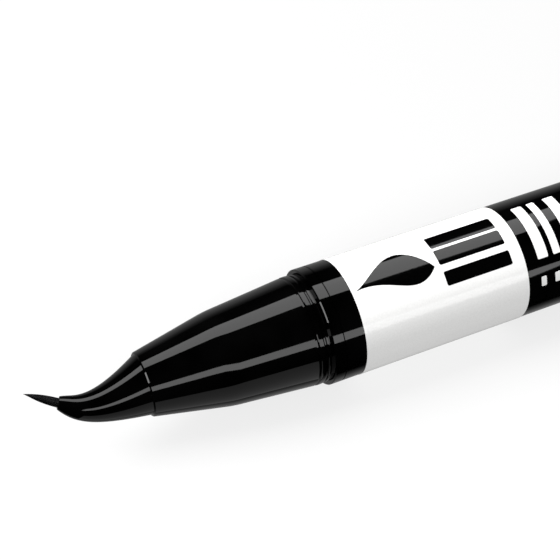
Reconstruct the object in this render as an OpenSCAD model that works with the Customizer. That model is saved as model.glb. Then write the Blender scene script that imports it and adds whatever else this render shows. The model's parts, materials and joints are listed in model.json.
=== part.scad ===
// Calligraphy marker with a curved brush nozzle, lying on its side with the cap posted on the rear.
// The marker's axis is X: the brush points to -X, the cap sits at the +X end, and +Z is up.
// The origin is the centre of the barrel's front rim, where the grip section seats.
// Each piece is drawn upright, with the nozzle's curve towards +Z and the clip towards -Z. rolled()
// then turns it about X until the cap and the edge of the clip stand on one level surface.

/* [Barrel] */
// Outer diameter of the barrel
barrel_d = 14; // [11:0.1:20]
// Length of the barrel tube
barrel_len = 88; // [70:1:120]
// Wall thickness of the barrel tube
barrel_wall = 1; // [0.8:0.1:1.4]
// Number of ribs inside the barrel that centre the ink reservoir
rib_count = 6; // [3:1:8]
// Width of each rib
rib_w = 0.8; // [0.5:0.1:1.2]
// Height of each rib above the barrel's inner wall
rib_h = 0.8; // [0.5:0.1:1.5]

/* [Grip section] */
// Length of the collar ring that lies against the barrel's front rim
ring_len = 1.33; // [0.8:0.01:3]
// Chamfer on the collar ring's front edge
ring_chamfer = 0.12; // [0.05:0.01:0.4]
// Chamfer on the collar ring's rear edge, which shows as a fine seam
seam_chamfer = 0.12; // [0.05:0.01:0.2]
// Length of the grooved neck that the cap snaps over
neck_len = 1.85; // [1.6:0.01:2.6]
// Depth of the neck below the collar ring, measured on the radius
neck_depth = 0.6; // [0.5:0.05:0.8]
// Height of the two snap beads above the neck
bead_h = 0.15; // [0.1:0.01:0.2]
// Length of the grip from the neck to the kink in its taper
grip_rear_len = 9.65; // [7:0.05:16]
// Diameter of the grip at the kink
kink_d = 11.2; // [9.5:0.1:12]
// Length over which the kink is rounded off
kink_soft = 1.6; // [0.5:0.1:3]
// Length of the steeper cone in front of the kink
grip_front_len = 9.1; // [8:0.1:14]
// Diameter of the grip at its front face
grip_front_d = 7.56; // [7:0.01:9.4]
// Chamfer on the grip's front edge
front_chamfer = 0.14; // [0.05:0.01:0.3]
// Wall thickness of the grip around the nozzle's tail
grip_front_wall = 0.88; // [0.7:0.01:1.1]
// Length of the spigot that plugs into the barrel
spigot_len = 9; // [6:0.5:12]
// Wall thickness of the spigot and of the grip behind the kink
grip_wall = 1.1; // [0.8:0.1:1.6]
// Wall thickness of the grip at the kink
seat_wall = 1.3; // [1:0.1:1.5]

/* [Curved nozzle] */
// Step in from the grip's front edge to the nozzle
nozzle_step = 0.28; // [0.1:0.02:0.6]
// Reach of the nozzle from the grip's front face to its mouth, along the axis
nozzle_reach = 9.45; // [7.5:0.05:13]
// Height of the mouth's centre above the axis
mouth_rise = 1.1; // [0.6:0.1:1.8]
// How far the curve's guide point dips below the axis
belly_drop = 1.25; // [0.8:0.05:1.6]
// Upward tilt of the mouth in degrees
mouth_tilt = 29; // [20:1:40]
// Wall thickness of the lip at the mouth
lip_wall = 0.13; // [0.1:0.01:0.3]
// Length of the tail
tail_len = 7; // [5:0.5:8]
// Wall thickness of the tail
tail_wall = 0.8; // [0.6:0.05:1]

/* [Brush] */
// Free length of the brush in front of the mouth
tuft_len = 3.96; // [2.5:0.02:6]
// Diameter of the brush where it leaves the mouth
tuft_d = 1.1; // [0.8:0.02:1.4]
// Upward tilt of the brush in degrees
tuft_tilt = 33; // [20:1:45]
// Fullness of the brush: the higher the power, the later it narrows to its point
tuft_power = 2.2; // [1.2:0.1:3]
// Diameter of the fused flange at the hidden end of the brush
brush_flange_d = 2.2; // [1.6:0.1:2.4]

/* [Ink supply] */
// Diameter of the feed wick
wick_d = 1.8; // [1.2:0.1:2.2]
// Length of wick that stands out of the sleeve into the nozzle
wick_nose = 2.2; // [1:0.1:3]
// Length of wick buried in the reservoir
wick_bury = 5; // [3:0.5:9]
// Thickness of the sleeve's front flange and rear disc
sleeve_disc = 1; // [0.8:0.1:1.5]
// Number of air grooves cut along the sleeve
air_grooves = 4; // [2:1:6]
// Thickness of the film around the reservoir
wrap_t = 0.15; // [0.1:0.01:0.25]

/* [Rear plug] */
// Thickness of the plug's flange, flush with the barrel
plug_flange = 1.2; // [0.8:0.1:2]
// Space between the end of the stub and the cap's liner
stub_gap = 2; // [0.5:0.1:5]
// Length of the plug's spigot inside the barrel
plug_spigot_len = 6; // [4:0.5:10]
// Wall thickness of the plug
plug_wall = 1; // [0.8:0.1:1.5]

/* [Cap] */
// Length of the cap
cap_len = 46; // [38:0.5:60]
// Wall thickness of the cap over its bore
cap_wall = 1.28; // [1:0.01:1.8]
// Depth of the cap's bore from the mouth to the liner
cap_bore_len = 16.5; // [16:0.1:18]
// Inner diameter of the sealing liner
liner_bore_d = 9.2; // [9:0.1:10]
// Wall thickness of the sealing liner
liner_wall = 0.8; // [0.6:0.05:1]
// Thickness of the disc that closes the cap
cap_disc_t = 2.5; // [1.5:0.1:3]

/* [Clip] */
// Width of the clip
clip_w = 4; // [3:0.1:6]
// Thickness of the clip's arm
clip_t = 1.1; // [0.8:0.1:1.6]
// Gap between the clip's arm and the cap
clip_gap = 1; // [0.6:0.1:2]
// Distance from the cap's mouth to the free end of the clip
clip_start = 8.5; // [5:0.5:15]
// Length of the clip's root along the cap
clip_root = 2.8; // [2:0.1:3]

/* [Clearances] */
// Radial running clearance between the cap's bore and the snap beads
cap_run = 0.07; // [0.04:0.01:0.1]
// Gap between the cap's mouth and the shoulder that it stops against
cap_seat = 0.3; // [0.2:0.05:0.5]
// Radial clearance around the brush in the nozzle's mouth
mouth_gap = 0.07; // [0.05:0.01:0.08]
// Radial clearance between the sleeve and the parts around it
sleeve_gap = 0.1; // [0.05:0.01:0.2]
// Radial clearance around the feed wick
wick_gap = 0.05; // [0.02:0.01:0.1]
// Radial clearance between the wrapped reservoir and the ribs
reservoir_gap = 0.05; // [0.02:0.01:0.2]

/* [Hidden] */
$fn = 96;
eps = 0.01;
ink_black = "#111113";

// Radii that several pieces share
barrel_r = barrel_d / 2;
barrel_bore_r = barrel_r - barrel_wall;
neck_r = barrel_r - neck_depth;
bead_r = neck_r + bead_h;
stub_r = bead_r - 0.05;
tail_r = grip_front_d / 2 - grip_front_wall;
tail_bore_r = tail_r - tail_wall;
wick_r = wick_d / 2;
sleeve_r = tail_bore_r - sleeve_gap;
wrap_r = barrel_bore_r - rib_h - reservoir_gap;
reservoir_r = wrap_r - wrap_t;
cap_bore_r = bead_r + cap_run;
cap_r = cap_bore_r + cap_wall;

// The tuft turns about a point this far in front of the mouth, clear of the hidden bundle
stand_off = 0.25;
root_gap = 0.05;

// Places along X in front of the barrel
neck_x = -ring_len - ring_chamfer;
cone_x = neck_x - neck_len;
kink_x = cone_x - grip_rear_len;
front_x = kink_x - grip_front_len;
mouth_x = front_x - nozzle_reach;
tail_x = front_x + tail_len;

// Places along X behind the barrel's front rim
plug_x = barrel_len;
stub_x = plug_x + plug_flange;
cap_x = stub_x + cap_seat;
reservoir_x = spigot_len + 0.5;
reservoir_end_x = plug_x - plug_spigot_len - 0.5;
liner_x = cap_x + cap_bore_len;
stub_end_x = liner_x - stub_gap;
cap_disc_x = cap_x + cap_len - cap_disc_t;
clip_root_x = cap_disc_x - clip_root;
liner_end_x = clip_root_x - 0.2;

// The liner: its flange is pressed into the stepped bore, and its body is slimmer
liner_step = 0.62;
liner_flange_r = cap_bore_r - liner_step;
liner_body_r = liner_bore_d / 2 + liner_wall;

// The grip's bore behind the nozzle's tail, where the sleeve's flange seats
seat_r = kink_d / 2 - seat_wall;
seat_len = 3;
spigot_bore_r = barrel_bore_r - grip_wall;

// The pen is rolled until the cap and the clip's edge touch the surface that it lies on
clip_inner_r = cap_r + clip_gap;
clip_outer_r = clip_inner_r + clip_t;
clip_edge_r = norm([clip_outer_r, clip_w / 2]);
roll = acos(cap_r / clip_edge_r) + atan(clip_w / 2 / clip_outer_r);

// Curve of the nozzle: a cubic guide in the XZ plane, with cubics for the radius and the wall
// along it. The two middle terms of each shape the belly, and the outer ones are the two ends.
nozzle_r = grip_front_d / 2 - nozzle_step;
mouth_bore_r = tuft_d / 2 + mouth_gap;
belly_at = 0.704;
throat_at = 0.836;
throat_drop = 0.05;
belly_r = 1.35;
throat_r = 1.6;
belly_wall = 0.6;
throat_wall = 0.75;
guide = [
  [front_x, 0],
  [front_x - belly_at * nozzle_reach, -belly_drop],
  [front_x - throat_at * nozzle_reach, -throat_drop],
  [mouth_x, mouth_rise]
];
outer_law = [nozzle_r, belly_r, throat_r, mouth_bore_r + lip_wall];
wall_law = [nozzle_r - tail_bore_r, belly_wall, throat_wall, lip_wall];
tilt_power = 1.4;
nozzle_sides = 40;
nozzle_rings = 28;

function cubic(p, t) =
  pow(1 - t, 3) * p[0] + 3 * pow(1 - t, 2) * t * p[1] + 3 * (1 - t) * t * t * p[2] + pow(t, 3) * p[3];
function guide_tilt(t) = mouth_tilt * pow(t, tilt_power);

// One ring of points of radius r, centred on the guide at t
function guide_ring(t, r, sides) = [
  for (k = [0 : sides - 1])
    let (c = cubic(guide, t), a = guide_tilt(t), q = 360 * k / sides)
    [c[0] + r * cos(q) * sin(a), r * sin(q), c[1] + r * cos(q) * cos(a)]
];

// Quads that join ring j to ring k in a list of rings with the same number of sides
function band(j, k, sides) = [
  for (i = [0 : sides - 1])
    let (n = (i + 1) % sides)
    [j * sides + i, k * sides + i, k * sides + n, j * sides + n]
];

// Arc points in a plane of [x, radius], from angle a to angle b
function arc(cx, cr, r, a, b, steps) = [
  for (i = [0 : steps]) let (q = a + (b - a) * i / steps) [cx + r * cos(q), cr + r * sin(q)]
];

// The two snap beads, a wide one and a slim one: where each starts and ends along the neck
wide_bead = [0.13, 0.57];
slim_bead = [0.65, 0.87];
bead_power = 8;
bead_steps = 10;

// A snap bead's outline from x0 to x1: a flat crown that rounds off quickly at both edges
function bead_outline(x0, x1) = [
  for (i = [0 : bead_steps])
    let (u = 2 * i / bead_steps - 1)
    [x0 + (x1 - x0) * (u + 1) / 2, neck_r + bead_h * (1 - pow(abs(u), bead_power))]
];

// The grooved neck's outline from its front end at x to its shoulder, with the two snap beads
function neck_outline(x) = concat(
  [[x, neck_r]],
  bead_outline(x + wide_bead[0] * neck_len, x + wide_bead[1] * neck_len),
  bead_outline(x + slim_bead[0] * neck_len, x + slim_bead[1] * neck_len),
  [[x + neck_len, neck_r]]
);

// Mirrors an outline along X and keeps it running from low X to high X
function mirrored_outline(p, about) = [
  for (i = [len(p) - 1 : -1 : 0]) [2 * about - p[i][0], p[i][1]]
];

module rolled() {
  rotate([-roll, 0, 0]) children();
}

// Revolves an outline of [x, radius] points about the marker's axis
module lathe(points) {
  rotate([0, 90, 0]) rotate([0, 0, 90]) rotate_extrude() polygon([for (p = points) [p[1], p[0]]]);
}

// A rod along the marker's axis from x0 to x1
module rod(x0, x1, r) {
  translate([x0, 0, 0]) rotate([0, 90, 0]) cylinder(h = x1 - x0, r = r);
}

module tube(x0, x1, r_out, r_in) {
  difference() {
    rod(x0, x1, r_out);
    rod(x0 - eps, x1 + eps, r_in);
  }
}

// Leaf-shaped tuft of free filaments, with a ball end that turns in the nozzle's mouth
module brush_tuft() {
  r0 = tuft_d / 2;
  free_len = tuft_len - stand_off;
  steps = 14;
  leaf = [for (i = [1 : steps]) let (t = i / steps) [free_len * t, r0 * (1 - pow(t, tuft_power))]];
  ball = arc(0, 0, r0, 180, 90, 8);
  color(ink_black) rolled()
    translate([mouth_x, 0, mouth_rise]) rotate([0, 180 + tuft_tilt, 0])
    translate([stand_off, 0, 0]) lathe(concat(ball, leaf));
}

// Hidden length of the bundle, following the nozzle's curve to a fused flange
module brush_root() {
  t0 = 0.16;
  t1 = 1 - (tuft_d / 2 - stand_off + root_gap) / (3 * norm(guide[3] - guide[2]));
  flange_end = 0.19;
  sides = 16;
  rings = 16;
  flange_r = brush_flange_d / 2;
  bundle_r = tuft_d / 2 - 0.05;
  ts = concat([t0, flange_end], [for (i = [0 : rings]) flange_end + (t1 - flange_end) * i / rings]);
  rs = concat([flange_r, flange_r], [for (i = [0 : rings]) bundle_r]);
  last = len(ts) - 1;
  points = [for (j = [0 : last]) each guide_ring(t = ts[j], r = rs[j], sides = sides)];
  front_cap = [for (i = [sides - 1 : -1 : 0]) last * sides + i];
  rear_cap = [for (i = [0 : sides - 1]) i];
  walls = [for (j = [0 : last - 1]) each band(j, j + 1, sides)];
  color("#26262A") rolled() polyhedron(points, concat([rear_cap], walls, [front_cap]), convexity = 4);
}

// The curved beak as one closed shell: its outer skin, its lip, its channel and its seat
module beak() {
  last = nozzle_rings;
  outer = [
    for (j = [0 : last]) let (t = j / last) each guide_ring(t, cubic(outer_law, t), nozzle_sides)
  ];
  inner = [
    for (j = [last : -1 : 0]) let (t = j / last) each guide_ring(t, cubic(outer_law - wall_law, t), nozzle_sides)
  ];
  rows = 2 * last + 2;
  faces = [for (j = [0 : rows - 1]) each band(j, (j + 1) % rows, nozzle_sides)];
  polyhedron(concat(outer, inner), faces, convexity = 6);
}

// Curved nozzle: the beak and the round tail that plugs into the grip
module nozzle() {
  overlap = 0.4;
  color(ink_black) rolled() difference() {
    union() {
      beak();
      tube(front_x - overlap, tail_x, tail_r, tail_bore_r);
    }
    rod(front_x - overlap, tail_x + eps, tail_bore_r);
  }
}

// Fibre rod that carries ink from the reservoir to the brush
module feed_wick() {
  nose_x = front_x - wick_nose;
  end_x = reservoir_x + wick_bury;
  cut = 0.3;
  color("#E8E4DA") rolled() lathe([
    [nose_x, 0], [nose_x, wick_r - cut], [nose_x + cut, wick_r],
    [end_x - cut, wick_r], [end_x, wick_r - cut], [end_x, 0]
  ]);
}

// Sleeve around the wick: a front flange in the grip, a rear disc against the reservoir
module wick_sleeve() {
  tip_x = front_x + 0.6;
  disc_x = reservoir_x - sleeve_disc;
  groove_w = 0.6;
  groove_floor_r = sleeve_r - 0.35;
  color("#D9D9DC") rolled() difference() {
    union() {
      rod(tip_x, reservoir_x, sleeve_r);
      rod(tail_x, tail_x + sleeve_disc, seat_r);
      rod(disc_x, reservoir_x, spigot_bore_r - 4 * sleeve_gap);
    }
    rod(tip_x - eps, reservoir_x + eps, wick_r + wick_gap);
    for (k = [0 : air_grooves - 1]) rotate([360 * k / air_grooves, 0, 0]) {
      translate([tip_x - eps, -groove_w / 2, groove_floor_r])
        cube([reservoir_x - tip_x + 1, groove_w, barrel_r]);
    }
  }
}

// Grip section: spigot, collar ring, grooved neck, tapered grip and a bore for the nozzle's tail
module grip_section() {
  cone_top_r = neck_r + 0.1;
  notch = 0.12;
  kink_steps = 8;
  kink = [kink_x, kink_d / 2];
  front_slope = (kink_d - grip_front_d) / 2 / grip_front_len;
  rear_slope = (cone_top_r - kink_d / 2) / grip_rear_len;
  soft_from = kink - kink_soft / 2 * [1, front_slope];
  soft_to = kink + kink_soft / 2 * [1, rear_slope];
  soft_kink = [
    for (i = [0 : kink_steps])
      let (t = i / kink_steps) pow(1 - t, 2) * soft_from + 2 * t * (1 - t) * kink + t * t * soft_to
  ];
  skin = concat(
    [
      [front_x, grip_front_d / 2 - front_chamfer],
      [front_x + front_chamfer, grip_front_d / 2]
    ],
    soft_kink,
    [
      [cone_x, cone_top_r],
      [cone_x, neck_r - notch]
    ],
    neck_outline(cone_x),
    [
      [neck_x, barrel_r - ring_chamfer],
      [neck_x + ring_chamfer, barrel_r],
      [-seam_chamfer, barrel_r],
      [0, barrel_r - seam_chamfer],
      [0, barrel_bore_r],
      [spigot_len - 0.5, barrel_bore_r],
      [spigot_len, barrel_bore_r - 0.4],
      [spigot_len, spigot_bore_r],
      [cone_x, spigot_bore_r],
      [tail_x + seat_len, seat_r],
      [tail_x, seat_r],
      [tail_x, tail_r],
      [front_x, tail_r]
    ]
  );
  color(ink_black) rolled() lathe(skin);
}

// Barrel tube with ribs that hold the reservoir clear of the wall
module barrel() {
  rib_in_r = barrel_bore_r - rib_h;
  rib_x = spigot_len + 1;
  rib_len = plug_x - plug_spigot_len - 1 - rib_x;
  color(ink_black) rolled() union() {
    tube(0, barrel_len, barrel_r, barrel_bore_r);
    for (k = [0 : rib_count - 1]) rotate([360 * k / rib_count, 0, 0])
      translate([rib_x, -rib_w / 2, rib_in_r]) cube([rib_len, rib_w, rib_h + barrel_wall / 2]);
  }
}

// Fibre reservoir with a pocket for the wick
module reservoir_core() {
  color("#F2F0E8") rolled() difference() {
    rod(reservoir_x, reservoir_end_x, reservoir_r);
    rod(reservoir_x - eps, reservoir_x + wick_bury, wick_r + wick_gap);
  }
}

// Thin film that wraps the reservoir
module reservoir_wrap() {
  color("#C9D2DA") rolled() tube(reservoir_x, reservoir_end_x, wrap_r, reservoir_r);
}

// Plug that closes the barrel: spigot, flush flange and the grooved stub that the cap posts on
module end_plug() {
  in_x = plug_x - plug_spigot_len;
  end_x = stub_end_x;
  lead = 0.4;
  rim = 0.8;
  bore_r = barrel_bore_r - plug_wall;
  stub_bore_r = neck_r - plug_wall - 0.4;
  stub_neck = mirrored_outline(neck_outline(stub_x), stub_x + neck_len / 2);
  outside = concat(
    [[in_x, bore_r], [in_x, barrel_bore_r - lead], [in_x + lead, barrel_bore_r], [plug_x, barrel_bore_r],
      [plug_x, barrel_r - seam_chamfer], [plug_x + seam_chamfer, barrel_r],
      [stub_x - seam_chamfer, barrel_r], [stub_x, barrel_r - seam_chamfer]],
    stub_neck,
    [[stub_x + neck_len, stub_r], [end_x - rim, stub_r], [end_x, stub_r - rim], [end_x, 0],
      [end_x - plug_wall, 0], [end_x - plug_wall, stub_bore_r], [stub_x, stub_bore_r], [plug_x, bore_r]]
  );
  color(ink_black) rolled() lathe(outside);
}

// Cap shell: open at the mouth, stepped bore, and a slot in its side for the clip's root
module cap_shell() {
  end_x = cap_x + cap_len;
  edge = 0.3;
  rim = 0.6;
  outline = [
    [cap_x, cap_bore_r + edge], [cap_x, cap_r - edge], [cap_x + edge, cap_r],
    [end_x - rim, cap_r], [end_x, cap_r - rim], [end_x, cap_bore_r],
    [cap_disc_x, cap_bore_r], [cap_disc_x, liner_flange_r], [liner_x, liner_flange_r],
    [liner_x, cap_bore_r], [cap_x + edge, cap_bore_r]
  ];
  color(ink_black) rolled() difference() {
    lathe(outline);
    translate([clip_root_x, -clip_w / 2, -clip_outer_r]) cube([clip_root + eps, clip_w, clip_outer_r - 2]);
  }
}

// Liner that seals round the grip's cone when the cap is on the writing end
module cap_liner() {
  end_x = liner_end_x;
  bore_r = liner_bore_d / 2;
  mouth = 0.3;
  lead = 0.2;
  flange_len = 3;
  slope_len = 0.6;
  rim = 0.5;
  color("#E9E9EB") rolled() lathe([
    [liner_x, bore_r + mouth], [liner_x, liner_flange_r - lead], [liner_x + lead, liner_flange_r],
    [liner_x + flange_len, liner_flange_r], [liner_x + flange_len + slope_len, liner_body_r],
    [end_x - rim, liner_body_r], [end_x, liner_body_r - rim], [end_x, 0], [end_x - liner_wall, 0],
    [end_x - liner_wall, bore_r], [liner_x + mouth, bore_r]
  ]);
}

// Disc that closes the cap and locks the clip's root
module cap_disc() {
  end_x = cap_x + cap_len;
  edge = 0.3;
  color(ink_black) rolled() lathe([
    [cap_disc_x, 0], [cap_disc_x, cap_bore_r], [end_x - edge, cap_bore_r],
    [end_x, cap_bore_r - edge], [end_x, 0]
  ]);
}

// Clip: a root locked under the disc, a straight arm and a rounded foot that bears on the cloth
module clip() {
  start_x = cap_x + clip_start;
  root_end_x = cap_disc_x;
  root_in_r = liner_body_r - liner_wall;
  corner = 1.2;
  foot_r = 1.1;
  foot_x = start_x + 2.6;
  profile = concat(
    [[clip_root_x, root_in_r], [root_end_x, root_in_r]],
    arc(root_end_x - corner, clip_outer_r - corner, corner, 0, 90, 8),
    arc(start_x + clip_t / 2, clip_outer_r - clip_t / 2, clip_t / 2, 90, 180, 8),
    [[start_x + 0.2, clip_inner_r + 0.2]],
    arc(foot_x, clip_inner_r + 0.3, foot_r, 200, 340, 8),
    [[clip_root_x - 0.6, clip_inner_r], [clip_root_x, clip_inner_r - 0.6]]
  );
  color(ink_black) rolled() mirror([0, 0, 1]) rotate([90, 0, 0])
    linear_extrude(clip_w, center = true) polygon(profile);
}

brush_tuft();
brush_root();
nozzle();
feed_wick();
wick_sleeve();
grip_section();
barrel();
reservoir_core();
reservoir_wrap();
end_plug();
cap_shell();
cap_liner();
cap_disc();
clip();
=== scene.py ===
# Looks of a curved-nozzle calligraphy marker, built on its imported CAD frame.
# All lengths are in metres, in the CAD's own frame: +X runs from the brush to the cap, +Z is up.
import json
import math

import bpy
from mathutils import Matrix, Vector


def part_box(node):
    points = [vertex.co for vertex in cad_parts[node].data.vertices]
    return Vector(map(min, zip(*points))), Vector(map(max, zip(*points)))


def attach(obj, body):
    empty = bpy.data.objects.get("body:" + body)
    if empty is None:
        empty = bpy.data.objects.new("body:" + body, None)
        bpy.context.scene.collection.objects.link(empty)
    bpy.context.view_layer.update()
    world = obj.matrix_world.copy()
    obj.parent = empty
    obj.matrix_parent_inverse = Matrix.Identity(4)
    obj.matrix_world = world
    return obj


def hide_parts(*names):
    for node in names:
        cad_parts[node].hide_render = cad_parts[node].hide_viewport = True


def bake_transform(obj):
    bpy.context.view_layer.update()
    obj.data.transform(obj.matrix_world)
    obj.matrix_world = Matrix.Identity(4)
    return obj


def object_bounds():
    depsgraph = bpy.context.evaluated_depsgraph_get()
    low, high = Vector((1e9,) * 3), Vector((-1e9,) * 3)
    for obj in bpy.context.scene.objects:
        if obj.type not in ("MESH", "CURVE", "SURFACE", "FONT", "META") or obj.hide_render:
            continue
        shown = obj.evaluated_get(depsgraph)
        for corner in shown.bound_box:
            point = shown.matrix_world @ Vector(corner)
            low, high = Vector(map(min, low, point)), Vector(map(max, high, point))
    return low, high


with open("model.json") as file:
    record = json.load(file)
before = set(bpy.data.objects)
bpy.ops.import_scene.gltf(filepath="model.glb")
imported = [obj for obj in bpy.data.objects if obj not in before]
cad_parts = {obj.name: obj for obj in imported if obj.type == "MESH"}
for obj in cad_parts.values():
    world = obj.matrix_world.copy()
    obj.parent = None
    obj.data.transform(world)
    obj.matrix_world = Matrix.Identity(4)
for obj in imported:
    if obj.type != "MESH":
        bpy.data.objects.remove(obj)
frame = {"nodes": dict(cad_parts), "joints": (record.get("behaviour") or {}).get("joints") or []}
cad_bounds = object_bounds()
MM = 0.001

# ---------------------------------------------------------------- sizes taken from the frame
barrel_lo, barrel_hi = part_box("barrel")
# the barrel's outside radius, in which the print and the camera's place are set out
R = (barrel_hi.y - barrel_lo.y) / 2
front_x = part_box("grip_section")[0].x
flex = next(j for j in frame["joints"] if j["name"] == "brush_flex")
pivot = Vector(flex["pos_m"])
# the way in which the nozzle curves, square to the marker's axis
bend = Vector((1, 0, 0)).cross(Vector(flex["axis"]))
bend_angle = math.atan2(bend.z, bend.y)
# the mouth's rise from the axis, how far its lip and the tuft tilt up, and how far in front of it
# the brush's hinge stands
mouth_rise = 1.1 * MM
mouth_tilt = math.radians(29)
tuft_tilt = math.radians(33)
stand_off = 0.25 * MM
mouth_x = pivot.x + stand_off * math.cos(tuft_tilt)


# ---------------------------------------------------------------- small helpers
def deselect():
    if bpy.context.object and bpy.context.object.mode != "OBJECT":
        bpy.ops.object.mode_set(mode="OBJECT")
    bpy.ops.object.select_all(action="DESELECT")


def pick(obj):
    deselect()
    obj.select_set(True)
    bpy.context.view_layer.objects.active = obj


def settle(obj):
    """Puts the object's place, turn and scale into its mesh."""
    pick(obj)
    bpy.ops.object.transform_apply(location=True, rotation=True, scale=True)


def apply_all(obj):
    pick(obj)
    for name in [m.name for m in obj.modifiers]:
        bpy.ops.object.modifier_apply(modifier=name)


def join(objs, name):
    deselect()
    for o in objs:
        o.select_set(True)
    bpy.context.view_layer.objects.active = objs[0]
    bpy.ops.object.join()
    objs[0].name = name
    objs[0].data.name = name
    return objs[0]


def from_upright(obj):
    """Turns a piece drawn with the nozzle's curve towards +Z to where the marker really lies."""
    obj.matrix_world = Matrix.Rotation(bend_angle - math.pi / 2, 4, "X") @ obj.matrix_world
    settle(obj)


def smooth(obj, degrees):
    pick(obj)
    bpy.ops.object.shade_smooth_by_angle(angle=math.radians(degrees))


# ---------------------------------------------------------------- materials
def linear(hex_colour):
    """sRGB hex to linear RGBA."""
    values = [int(hex_colour[i : i + 2], 16) / 255 for i in (1, 3, 5)]
    return [v / 12.92 if v <= 0.04045 else ((v + 0.055) / 1.055) ** 2.4 for v in values] + [1]


def add(tree, kind, links=(), stops=(), **settings):
    """Adds a node. A setting named s_Name sets an input socket; a link is (input, node, output);
    the stops of a colour ramp are its two (place, hex) pairs."""
    n = tree.nodes.new(kind)
    for key, value in settings.items():
        if key.startswith("s_"):
            n.inputs[key[2:].replace("_", " ")].default_value = value
        else:
            setattr(n, key, value)
    for k, (place, colour) in enumerate(stops):
        n.color_ramp.elements[k].position = place
        n.color_ramp.elements[k].color = linear(colour)
    for socket, source, output in links:
        tree.links.new(source.outputs[output], n.inputs[socket])
    return n


def new_material(name):
    m = bpy.data.materials.new(name)
    m.use_nodes = True
    tree = m.node_tree
    tree.nodes.clear()
    coords = add(tree, "ShaderNodeTexCoord")
    return m, tree, coords


# refractive index of polypropylene and of print, and how much of the reflection their faces keep
# (0.5 would be all of it)
plastic_ior = 1.49
face_specular = 0.26


def polished_polypropylene(name, dark, light, rough):
    """Injection-moulded black polypropylene from a polished mould: a near-black body with
    sharp, slightly dim reflections, and a very slight unevenness of gloss from the flow."""
    m, tree, coords = new_material(name)
    flow_mm = 5
    flow = add(
        tree, "ShaderNodeTexNoise", [("Vector", coords, "Object")],
        s_Scale=1 / (flow_mm * MM), s_Detail=2, s_Roughness=0.4,
    )
    grain_mm = 0.35
    grain = add(
        tree, "ShaderNodeTexNoise", [("Vector", coords, "Object")],
        s_Scale=1 / (grain_mm * MM), s_Detail=3, s_Roughness=0.5,
    )
    colour = add(tree, "ShaderNodeValToRGB", [("Fac", flow, "Fac")], [(0.35, dark), (0.7, light)])
    gloss = add(
        tree, "ShaderNodeMapRange", [("Value", grain, "Fac")],
        s_To_Min=rough * 0.8, s_To_Max=rough * 1.2,
    )
    bump = add(
        tree, "ShaderNodeBump", [("Height", flow, "Fac")],
        s_Strength=0.05, s_Distance=0.02 * MM,
    )
    shader = add(
        tree, "ShaderNodeBsdfPrincipled",
        [("Base Color", colour, "Color"), ("Roughness", gloss, "Result"), ("Normal", bump, "Normal")],
        s_IOR=plastic_ior, s_Specular_IOR_Level=face_specular,
    )
    add(tree, "ShaderNodeOutputMaterial", [("Surface", shader, "BSDF")])
    return m


def thin_layer(name, low, high, rough):
    """A thin, even layer with a satin face: screen-printed UV ink, with the faint unevenness of
    the mesh it was pushed through, or the film wound round the reservoir."""
    m, tree, coords = new_material(name)
    # a real screen mesh is about 0.08 mm; drawn at 0.2 mm so that it can show
    mesh_mm = 0.2
    weave = add(
        tree, "ShaderNodeTexNoise", [("Vector", coords, "Object")],
        s_Scale=1 / (mesh_mm * MM), s_Detail=2, s_Roughness=0.6,
    )
    colour = add(tree, "ShaderNodeValToRGB", [("Fac", weave, "Fac")], [(0.3, low), (0.7, high)])
    gloss = add(
        tree, "ShaderNodeMapRange", [("Value", weave, "Fac")],
        s_To_Min=rough * 0.85, s_To_Max=rough * 1.15,
    )
    bump = add(
        tree, "ShaderNodeBump", [("Height", weave, "Fac")],
        s_Strength=0.06, s_Distance=0.01 * MM,
    )
    shader = add(
        tree, "ShaderNodeBsdfPrincipled",
        [("Base Color", colour, "Color"), ("Roughness", gloss, "Result"), ("Normal", bump, "Normal")],
        s_IOR=plastic_ior, s_Specular_IOR_Level=face_specular,
    )
    add(tree, "ShaderNodeOutputMaterial", [("Surface", shader, "BSDF")])
    return m


def fibre(name, low, high, rough, specular, strand_mm, stretch):
    """Fibres lying along the marker: fine lengthwise streaks of light and dark with a dull face."""
    m, tree, coords = new_material(name)
    along = add(tree, "ShaderNodeMapping", [("Vector", coords, "Object")], s_Scale=(1 / stretch, 1, 1))
    streak = add(
        tree, "ShaderNodeTexNoise", [("Vector", along, "Vector")],
        s_Scale=1 / (strand_mm * MM), s_Detail=3, s_Roughness=0.6,
    )
    colour = add(tree, "ShaderNodeValToRGB", [("Fac", streak, "Fac")], [(0.3, low), (0.7, high)])
    bump = add(
        tree, "ShaderNodeBump", [("Height", streak, "Fac")],
        s_Strength=0.4, s_Distance=strand_mm * 0.3 * MM,
    )
    shader = add(
        tree, "ShaderNodeBsdfPrincipled",
        [("Base Color", colour, "Color"), ("Normal", bump, "Normal")],
        s_Roughness=rough, s_IOR=1.5, s_Specular_IOR_Level=specular,
    )
    add(tree, "ShaderNodeOutputMaterial", [("Surface", shader, "BSDF")])
    return m


def natural_plastic(name, low, high, rough):
    """Natural, unpigmented polypropylene: milky and slightly waxy."""
    m, tree, coords = new_material(name)
    cloud_mm = 3
    cloud = add(
        tree, "ShaderNodeTexNoise", [("Vector", coords, "Object")],
        s_Scale=1 / (cloud_mm * MM), s_Detail=2,
    )
    colour = add(tree, "ShaderNodeValToRGB", [("Fac", cloud, "Fac")], [(0.3, low), (0.7, high)])
    gloss = add(
        tree, "ShaderNodeMapRange", [("Value", cloud, "Fac")],
        s_To_Min=rough * 0.85, s_To_Max=rough * 1.15,
    )
    shader = add(
        tree, "ShaderNodeBsdfPrincipled",
        [("Base Color", colour, "Color"), ("Roughness", gloss, "Result")],
        s_IOR=plastic_ior, s_Subsurface_Weight=0.15, s_Subsurface_Scale=0.6 * MM,
    )
    add(tree, "ShaderNodeOutputMaterial", [("Surface", shader, "BSDF")])
    return m


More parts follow.
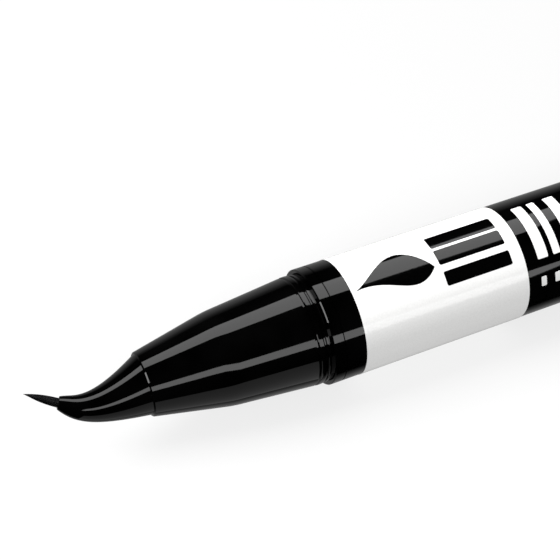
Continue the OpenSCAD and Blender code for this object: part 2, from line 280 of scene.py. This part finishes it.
# near black, with crisp, slightly dim reflections
black_plastic = polished_polypropylene("black_polypropylene", "#010101", "#040404", 0.045)
# clean, opaque white that takes the lights as a soft sheen
white_ink = thin_layer("white_screen_ink", "#F1F1F0", "#F8F8F7", 0.09)
# as black as the plastic, with slightly softer reflections
black_ink = thin_layer("black_screen_ink", "#010101", "#040404", 0.07)
# black filaments wet with ink: faint grey streaks along them and a low gleam
wet_nylon = fibre("ink_wet_nylon", "#020203", "#101012", 0.24, 0.16, 0.09, 12)
# dull cream fibre with fine streaks along it
bonded_fibre = fibre("bonded_synthetic_fibre", "#D9D3C4", "#F3EFE4", 0.85, 0.3, 0.12, 10)
# milky grey white, a little see-through at its edges
milky_plastic = natural_plastic("natural_polypropylene", "#D6D6D4", "#EDEDEB", 0.35)
# smooth, pale blue grey
clear_film = thin_layer("clear_wrapping_film", "#BAC4CC", "#D2DADF", 0.2)

node_materials = {
    "brush_root": wet_nylon,
    "nozzle": black_plastic,
    "feed_wick": bonded_fibre,
    "wick_sleeve": milky_plastic,
    "grip_section": black_plastic,
    "barrel": black_plastic,
    "reservoir_core": bonded_fibre,
    "reservoir_wrap": clear_film,
    "end_plug": black_plastic,
    "cap_shell": black_plastic,
    "cap_liner": milky_plastic,
    "cap_disc": black_plastic,
    "clip": black_plastic,
    "brush_tuft": wet_nylon,
}


def dress(obj, material):
    obj.data.materials.clear()
    obj.data.materials.append(material)


for node_name, node_material in node_materials.items():
    dress(frame["nodes"][node_name], node_material)


# ---------------------------------------------------------------- curved nozzle
def cubic(p, t):
    k = 1 - t
    return p[0] * k**3 + p[1] * 3 * k * k * t + p[2] * 3 * k * t * t + p[3] * t**3


reach = front_x - mouth_x
# control points of the nozzle's middle line, from its base to its mouth
guide = [
    Vector((front_x, 0, 0)),
    Vector((front_x - 0.704 * reach, 0, -1.25 * MM)),
    Vector((front_x - 0.836 * reach, 0, -0.05 * MM)),
    Vector((mouth_x, 0, mouth_rise)),
]
lip_r = 0.75 * MM
mouth_bore_r = 0.62 * MM
# outside radii that go with the control points, and how late the rings tilt up
outer_law = [3.5 * MM, 1.35 * MM, 1.6 * MM, lip_r]
tilt_power = 1.4


def guide_ring(t):
    """Centre, outer radius and upward tilt of the nozzle at t, from its base at 0 to its lip at 1."""
    return cubic(guide, t), cubic(outer_law, t), mouth_tilt * t**tilt_power


def step_ring(centre, radius, to_centre, to_radius):
    """Extrudes the selected ring to a new centre and radius, and returns them."""
    bpy.ops.mesh.extrude_region_move(TRANSFORM_OT_translate={"value": to_centre - centre})
    bpy.ops.transform.resize(value=(to_radius / radius,) * 3, center_override=to_centre)
    return to_centre, to_radius


def turn_ring(angle, centre):
    """Tilts the selected ring upwards by angle about its own centre."""
    bpy.ops.transform.rotate(value=-angle, orient_axis="Y", center_override=centre)


def make_nozzle():
    """One ring is extruded along the guide, scaled and tilted at each step, and then turned in
    over a rounded lip and back down the mouth."""
    steps = 44
    sides = 72
    deselect()
    bpy.ops.mesh.primitive_circle_add(
        vertices=sides, radius=outer_law[0], location=guide[0], rotation=(0, math.pi / 2, 0)
    )
    obj = bpy.context.object
    settle(obj)
    bpy.ops.object.mode_set(mode="EDIT")
    bpy.ops.mesh.select_all(action="SELECT")
    centre, radius, tilt = guide_ring(0)
    for k in range(1, steps + 1):
        to_centre, to_radius, to_tilt = guide_ring(k / steps)
        centre, radius = step_ring(centre, radius, to_centre, to_radius)
        turn_ring(to_tilt - tilt, centre)
        tilt = to_tilt
    lip_centre = cubic(guide, 1.0)
    outwards = Vector((-math.cos(tilt), 0, math.sin(tilt)))
    wall = lip_r - mouth_bore_r
    lip_steps = 5
    for k in range(1, lip_steps + 1):
        q = math.pi * k / lip_steps
        to_centre = lip_centre - outwards * (wall / 2) * (1 - math.sin(q))
        to_radius = mouth_bore_r + wall / 2 * (1 + math.cos(q))
        centre, radius = step_ring(centre, radius, to_centre, to_radius)
    for inside_mm, widening in ((0.5, 1.0), (1.2, 1.15), (2.0, 1.3)):
        to_centre = lip_centre - outwards * inside_mm * MM
        centre, radius = step_ring(centre, radius, to_centre, mouth_bore_r * widening)
    bpy.ops.mesh.select_all(action="SELECT")
    bpy.ops.mesh.normals_make_consistent(inside=False)
    bpy.ops.object.mode_set(mode="OBJECT")
    obj.name = obj.data.name = "nozzle_skin"
    from_upright(obj)
    smooth(obj, 50)
    dress(obj, black_plastic)
    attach(obj, "pen")
    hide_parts("nozzle")


make_nozzle()

# ---------------------------------------------------------------- brush
tuft_dir = Vector((-math.cos(tuft_tilt), 0, math.sin(tuft_tilt)))
tuft_side = Vector((0, 1, 0))
tuft_up = tuft_dir.cross(tuft_side)
mouth = Vector((mouth_x, 0, mouth_rise))
tuft_r = 0.55 * MM
tuft_len = 3.96 * MM
buried = 0.3 * MM
# how late the tuft's outline closes in, how late a filament tapers, and how thin its end stays
leaf_power = 2.2
taper_power = 3
end_share = 0.08


def strand(offset, angle, thick, length, name):
    """One tapered filament, as a path that bulges like a leaf and runs to the tuft's point."""
    bpy.ops.curve.primitive_nurbs_path_add(location=(0, 0, 0))
    obj = bpy.context.object
    obj.name = name
    pick(obj)
    bpy.ops.object.mode_set(mode="EDIT")
    bpy.ops.curve.select_all(action="SELECT")
    bpy.ops.curve.subdivide()
    bpy.ops.object.mode_set(mode="OBJECT")
    spline = obj.data.splines[0]
    out = tuft_side * math.cos(angle) + tuft_up * math.sin(angle)
    last = len(spline.points) - 1
    for k, point in enumerate(spline.points):
        at = -buried + (length + buried) * k / last
        share = max(at / length, 0)
        place = mouth + tuft_dir * at + out * offset * (1 - share**leaf_power)
        point.co = (place.x, place.y, place.z, 1)
        point.radius = max(1 - share**taper_power, end_share)
    spline.use_endpoint_u = True
    spline.order_u = 4
    spline.resolution_u = 2
    obj.data.bevel_depth = thick
    obj.data.bevel_resolution = 1
    obj.data.use_fill_caps = True
    return obj


def make_brush():
    """A tuft of filaments, set on a spiral across the mouth and drawn in to one point. The outer
    ones end a little short of it, by a fixed scatter."""
    golden = math.pi * (3 - math.sqrt(5))
    thick = 0.045 * MM
    count = 110
    shortest = 0.08
    scatter = 7.3
    strands = []
    for k in range(count):
        share = math.sqrt((k + 0.5) / count)
        length = tuft_len * (1 - shortest * share * (0.5 + 0.5 * math.sin(scatter * k)))
        strands.append(strand((tuft_r - thick) * share, golden * k, thick, length, f"filament_{k}"))
    deselect()
    for s in strands:
        s.select_set(True)
    bpy.context.view_layer.objects.active = strands[0]
    bpy.ops.object.convert(target="MESH")
    obj = join(strands, "brush_filaments")
    from_upright(obj)
    smooth(obj, 60)
    dress(obj, wet_nylon)
    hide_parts("brush_tuft")
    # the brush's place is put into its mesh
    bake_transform(obj)


make_brush()

# ---------------------------------------------------------------- print on the barrel
# radii of the print: the white layer lies just off the barrel, and the black one lies on it
white_in = R + 0.01 * MM
white_out = white_in + 0.02 * MM
black_out = white_out + 0.016 * MM
# where the white band starts and ends
band_from = barrel_lo.x + 0.35 * R
band_to = barrel_lo.x + 3.403 * R


def ink_ring(name, x0, x1, r_in, r_out):
    """A thin closed sleeve of ink round the barrel."""
    deselect()
    bpy.ops.mesh.primitive_cylinder_add(
        vertices=256, radius=r_out, depth=x1 - x0, end_fill_type="NOTHING",
        location=((x0 + x1) / 2, 0, 0), rotation=(0, math.pi / 2, 0),
    )
    obj = bpy.context.object
    settle(obj)
    film = obj.modifiers.new("film", "SOLIDIFY")
    film.thickness = r_out - r_in
    film.offset = -1
    film.use_even_offset = True
    apply_all(obj)
    obj.name = obj.data.name = name
    return obj


def ink_shape(name, prisms, r_in, r_out, material, aim):
    """Ink in the shapes of prisms that point out of the barrel at the angle aim: the part of a
    sleeve of ink that lies inside them."""
    cutter = join(prisms, name + "_outline")
    cutter.matrix_world = Matrix.Rotation(aim - math.pi / 2, 4, "X")
    settle(cutter)
    lo = min(v.co.x for v in cutter.data.vertices)
    hi = max(v.co.x for v in cutter.data.vertices)
    obj = ink_ring(name, lo - MM, hi + MM, r_in, r_out)
    cut = obj.modifiers.new("outline", "BOOLEAN")
    cut.operation = "INTERSECT"
    cut.solver = "EXACT"
    cut.object = cutter
    apply_all(obj)
    bpy.data.objects.remove(cutter)
    smooth(obj, 30)
    dress(obj, material)
    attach(obj, "pen")


def bar(x0, x1, y0, y1, round_by):
    """An upright prism over a rectangle in the flat plane under it, with rounded corners."""
    deselect()
    bpy.ops.mesh.primitive_cube_add(size=1, location=((x0 + x1) / 2, (y0 + y1) / 2, R))
    obj = bpy.context.object
    obj.scale = (x1 - x0, y1 - y0, 1.4 * R)
    settle(obj)
    bpy.ops.object.mode_set(mode="EDIT")
    bpy.ops.mesh.select_all(action="DESELECT")
    bpy.ops.object.mode_set(mode="OBJECT")
    for e in obj.data.edges:
        a, b = (obj.data.vertices[i].co for i in e.vertices)
        e.select = abs(a.z - b.z) > R
    bpy.ops.object.mode_set(mode="EDIT")
    bpy.ops.mesh.select_mode(type="EDGE")
    bpy.ops.mesh.bevel(offset=round_by, segments=5, affect="EDGES")
    bpy.ops.object.mode_set(mode="OBJECT")
    return obj


def stroke(stations, name):
    """An upright prism over a brush stroke. One short edge is drawn along the stations, shifted and
    widened at each of them, and the sheet that it leaves is then extruded upwards."""
    x, y, width = stations[0]
    low_z = 0.3 * R
    deselect()
    bpy.ops.mesh.primitive_plane_add(size=width, location=(x + width / 2, y, low_z))
    obj = bpy.context.object
    obj.name = name
    settle(obj)
    bpy.ops.object.mode_set(mode="EDIT")
    bpy.ops.mesh.select_mode(type="VERT")
    bpy.ops.mesh.select_all(action="DESELECT")
    bpy.ops.object.mode_set(mode="OBJECT")
    for v in obj.data.vertices:
        v.select = v.co.x > x + width / 2
    bpy.ops.object.mode_set(mode="EDIT")
    bpy.ops.mesh.delete(type="VERT")
    bpy.ops.mesh.select_all(action="SELECT")
    for to_x, to_y, to_width in stations[1:]:
        bpy.ops.mesh.extrude_region_move(TRANSFORM_OT_translate={"value": (to_x - x, to_y - y, 0)})
        bpy.ops.transform.resize(value=(1, to_width / width, 1), center_override=(to_x, to_y, low_z))
        x, y, width = to_x, to_y, to_width
    bpy.ops.mesh.select_all(action="SELECT")
    bpy.ops.mesh.extrude_region_move(TRANSFORM_OT_translate={"value": (0, 0, 1.4 * R)})
    bpy.ops.mesh.select_all(action="SELECT")
    bpy.ops.mesh.normals_make_consistent(inside=False)
    bpy.ops.object.mode_set(mode="OBJECT")
    return obj


# the side of the barrel that carries the print, as an angle from +Y towards +Z
print_side = math.radians(107.5)

white_band = ink_ring("white_print_band", band_from, band_to, white_in, white_out)
smooth(white_band, 30)
dress(white_band, white_ink)
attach(white_band, "pen")

# a plain calligraphic stroke that swells late from a hairline and closes again; its middle line is
# a part of a sine wave, let down a little
swash_from = band_from + 0.10 * R
swash_len = 1.40 * R
swash_steps = 32
swash_width = 0.60 * R
hairline = 0.012 * R
swell_lag = 1.6
swell_round = 0.9
wave_height = 0.10 * R
wave_drop = 0.04 * R
swash = []
for k in range(swash_steps + 1):
    t = k / swash_steps
    wave = wave_height * math.sin(math.pi * (1.3 * t - 0.1)) - wave_drop
    swell = math.sin(math.pi * t**swell_lag) ** swell_round if 0 < t < 1 else 0
    swash.append((swash_from + swash_len * t, wave, swash_width * swell + hairline))
marks = [stroke(swash, "swash")]

# three sample strokes beside it
sample_from = band_from + 1.60 * R
sample_to = band_from + 2.83 * R
for low, high in ((-0.46, -0.23), (-0.11, 0.17), (0.22, 0.47)):
    marks.append(bar(sample_from, sample_to, low * R, high * R, 0.03 * R))
ink_shape("black_print_strokes", marks, white_out, black_out, black_ink, print_side)

# plain upright bars on the black length behind the band, in pairs of a wide and a narrow one
rows_from = band_to + 0.24 * R
tile_pitch = 0.62 * R
tile_foot = -0.52 * R
tiles = []
for k in range(6):
    start = rows_from + k * tile_pitch
    narrow_top = (0.5 - 0.14 * (k % 3)) * R
    tiles.append(bar(start, start + 0.2 * R, tile_foot, 0.5 * R, 0.02 * R))
    tiles.append(bar(start + 0.3 * R, start + 0.44 * R, tile_foot, narrow_top, 0.02 * R))
ink_shape("white_print_bars", tiles, white_in, white_out, white_ink, print_side)

# a row of small dashes below them, every third one shorter
dash_pitch = 0.27 * R
dash_half = 0.09 * R
dash_side = print_side + math.radians(54)
dashes = []
for k in range(14):
    start = rows_from + k * dash_pitch
    dash_len = (0.16 if k % 3 else 0.1) * R
    dashes.append(bar(start, start + dash_len, -dash_half, dash_half, 0.02 * R))
ink_shape("white_print_dashes", dashes, white_in, white_out, white_ink, dash_side)

# ---------------------------------------------------------------- floor, light and camera
floor_z = cad_bounds[0].z
deselect()
bpy.ops.mesh.primitive_plane_add(size=6, location=(0, 0, floor_z))
floor = bpy.context.object
floor.name = "floor"
settle(floor)
shooting_table, tree, coords = new_material("lit_opal_acrylic")
# opal acrylic lit from below: it glows evenly, so that what stands on it leaves only a faint shadow
haze_mm = 150
floor_glow = 0.73
haze = add(
    tree, "ShaderNodeTexNoise", [("Vector", coords, "Object")],
    s_Scale=1 / (haze_mm * MM), s_Detail=2,
)
tone = add(tree, "ShaderNodeValToRGB", [("Fac", haze, "Fac")], [(0.3, "#646464"), (0.7, "#666666")])
opal = add(
    tree, "ShaderNodeBsdfPrincipled", [("Base Color", tone, "Color")],
    s_Roughness=0.9, s_Specular_IOR_Level=0.0,
    s_Emission_Color=linear("#FFFFFF"), s_Emission_Strength=floor_glow,
)
add(tree, "ShaderNodeOutputMaterial", [("Surface", opal, "BSDF")])
dress(floor, shooting_table)
for ray_kind in ("glossy", "diffuse", "shadow"):
    setattr(floor, f"visible_{ray_kind}", False)

# an even white tent round the object; polished surfaces see a dark studio with a faint glow instead,
# low down on the far side
world = bpy.data.worlds.new("white_tent")
bpy.context.scene.world = world
world.use_nodes = True
world.cycles.sampling_method = "NONE"
sky = world.node_tree
sky.nodes.clear()
sky_coords = add(sky, "ShaderNodeTexCoord")
seen_strength = 1.1
matte_strength = 0.70
glow_strength = 0.33
glow_way = Vector((0, 1, -1)).normalized()
glow_dot = add(sky, "ShaderNodeVectorMath", [(0, sky_coords, "Generated")], operation="DOT_PRODUCT")
glow_dot.inputs[1].default_value = glow_way
glow = add(
    sky, "ShaderNodeMapRange", [("Value", glow_dot, "Value")],
    s_From_Min=0.40, s_From_Max=0.70, s_To_Min=0.0, s_To_Max=glow_strength,
)
ray = add(sky, "ShaderNodeLightPath")
seen = add(sky, "ShaderNodeBackground", s_Strength=seen_strength)
matte = add(sky, "ShaderNodeBackground", s_Strength=matte_strength)
polished = add(sky, "ShaderNodeBackground", [("Strength", glow, "Result")])
for backdrop in (seen, matte, polished):
    backdrop.inputs["Color"].default_value = linear("#FFFFFF")
not_seen = add(sky, "ShaderNodeMixShader", [("Fac", ray, "Is Glossy Ray"), (1, matte, 0), (2, polished, 0)])
tent = add(sky, "ShaderNodeMixShader", [("Fac", ray, "Is Camera Ray"), (1, not_seen, 0), (2, seen, 0)])
add(sky, "ShaderNodeOutputWorld", [("Surface", tent, 0)])

lamp_distance = 0.6


def hang(light, matrix, lights_matte):
    """Puts a lamp in the scene, out of the camera's sight."""
    obj = bpy.data.objects.new(light.name, light)
    bpy.context.scene.collection.objects.link(obj)
    obj.matrix_world = matrix
    obj.visible_camera = False
    obj.visible_diffuse = lights_matte
    return obj


def softbox(name, *, angle, along, lean, skew, left, right, width, radiance, lights_matte=False):
    """A flat softbox. Its anchor stands at angle round the pen, from +Y over +Z, and at along times
    its distance along the pen. From there it reaches left towards the brush and right towards the
    cap; that long side leans away from the pen by lean and is turned round it by skew, in degrees."""
    a = math.radians(angle)
    outward = Vector((0, math.cos(a), math.sin(a)))
    around = Vector((0, -math.sin(a), math.cos(a)))
    x_way = Vector((1, 0, 0))
    long_side = x_way + outward * math.tan(math.radians(lean)) + around * math.tan(math.radians(skew))
    long_side.normalize()
    short_side = (long_side * around.dot(long_side) - around).normalized()
    light = bpy.data.lights.new(name, "AREA")
    light.shape = "RECTANGLE"
    light.size = left + right
    light.size_y = width
    light.energy = radiance * math.pi * (left + right) * width
    facing = Matrix((long_side, short_side, long_side.cross(short_side))).transposed().to_4x4()
    middle = (outward + x_way * along) * lamp_distance + long_side * (right - left) / 2
    return hang(light, Matrix.Translation(middle) @ facing, lights_matte)


# the long bright line along the top of every black piece, and most of the light on the white band
upper_strip = softbox(
    "upper_strip", angle=66.5, along=0.0, lean=-24.5, skew=7.9,
    left=0.75, right=0.33, width=0.30, radiance=5.0, lights_matte=True,
)
# the lower line, on the side towards the camera
softbox(
    "lower_strip", angle=161.8, along=0.1, lean=0.0, skew=21.1,
    left=0.38, right=0.315, width=0.146, radiance=4.9,
)
# a dim grey line near the lower outline
softbox(
    "under_card", angle=-129, along=-0.1525, lean=0.0, skew=-8.0,
    left=0.24, right=0.24, width=0.60, radiance=0.57,
)

# a long light straight above, which only matte surfaces show
top_fill = softbox(
    "top_fill", angle=82, along=0.0, lean=0.0, skew=0.0,
    left=0.5, right=0.5, width=0.10, radiance=5.0, lights_matte=True,
)
top_fill.visible_glossy = False

# the table has two lights of its own, behind and in front, so that each leaves a faint soft shadow
floor_rear = softbox(
    "floor_rear", angle=72, along=-1.0, lean=0.0, skew=0.0,
    left=0.3, right=0.3, width=0.40, radiance=18.0, lights_matte=True,
)
floor_front = softbox(
    "floor_front", angle=139, along=-0.9, lean=0.0, skew=0.0,
    left=0.15, right=0.15, width=0.17, radiance=60.0, lights_matte=True,
)
only_floor = bpy.data.collections.new("only_floor")
all_but_floor = bpy.data.collections.new("all_but_floor")
for receivers in (only_floor, all_but_floor):
    receivers.objects.link(floor)
all_but_floor.collection_objects[0].light_linking.link_state = "EXCLUDE"
for lamp in (floor_rear, floor_front):
    lamp.visible_glossy = False
    lamp.light_linking.receiver_collection = only_floor
for lamp in (upper_strip, top_fill):
    lamp.light_linking.receiver_collection = all_but_floor

# a round lamp in front of the brush: only edges that face forward catch it, as fine bright lines
end_way = Vector((-0.942, -0.018, 0.336)).normalized()
end_radiance = 9.0
end_lamp = bpy.data.lights.new("end_lamp", "AREA")
end_lamp.shape = "DISK"
end_lamp.size = 0.29
end_lamp.energy = end_radiance * math.pi * math.pi / 4 * end_lamp.size**2
end_turn = end_way.to_track_quat("Z", "Y").to_matrix().to_4x4()
hang(end_lamp, Matrix.Translation(end_way * lamp_distance) @ end_turn, lights_matte=False)

# camera: its distance and offsets are set out in barrel radii from the band's front edge
azimuth = math.radians(-24.77)
elevation = math.radians(45.41)
lens_mm = 90.87
sensor_mm = 36
depth = 23.504 * R
right_by = 0.9903 * R
down_by = 0.6210 * R
view_dir = Vector((
    -math.sin(azimuth) * math.cos(elevation),
    math.cos(azimuth) * math.cos(elevation),
    -math.sin(elevation),
))
right_dir = view_dir.cross(Vector((0, 0, 1))).normalized()
up_dir = right_dir.cross(view_dir)
camera = bpy.data.objects.new("camera", bpy.data.cameras.new("camera"))
bpy.context.scene.collection.objects.link(camera)
camera.data.lens = lens_mm
camera.data.sensor_width = sensor_mm
camera.data.clip_start = 0.001
camera.data.clip_end = 20
place = Vector((band_from, 0, 0)) - view_dir * depth - right_dir * right_by + up_dir * down_by
camera.matrix_world = Matrix.Translation(place) @ Matrix(
    (right_dir, up_dir, -view_dir)
).transposed().to_4x4()
bpy.context.scene.camera = camera

bpy.context.scene.view_settings.view_transform = "Standard"
bpy.context.scene.view_settings.look = "None"
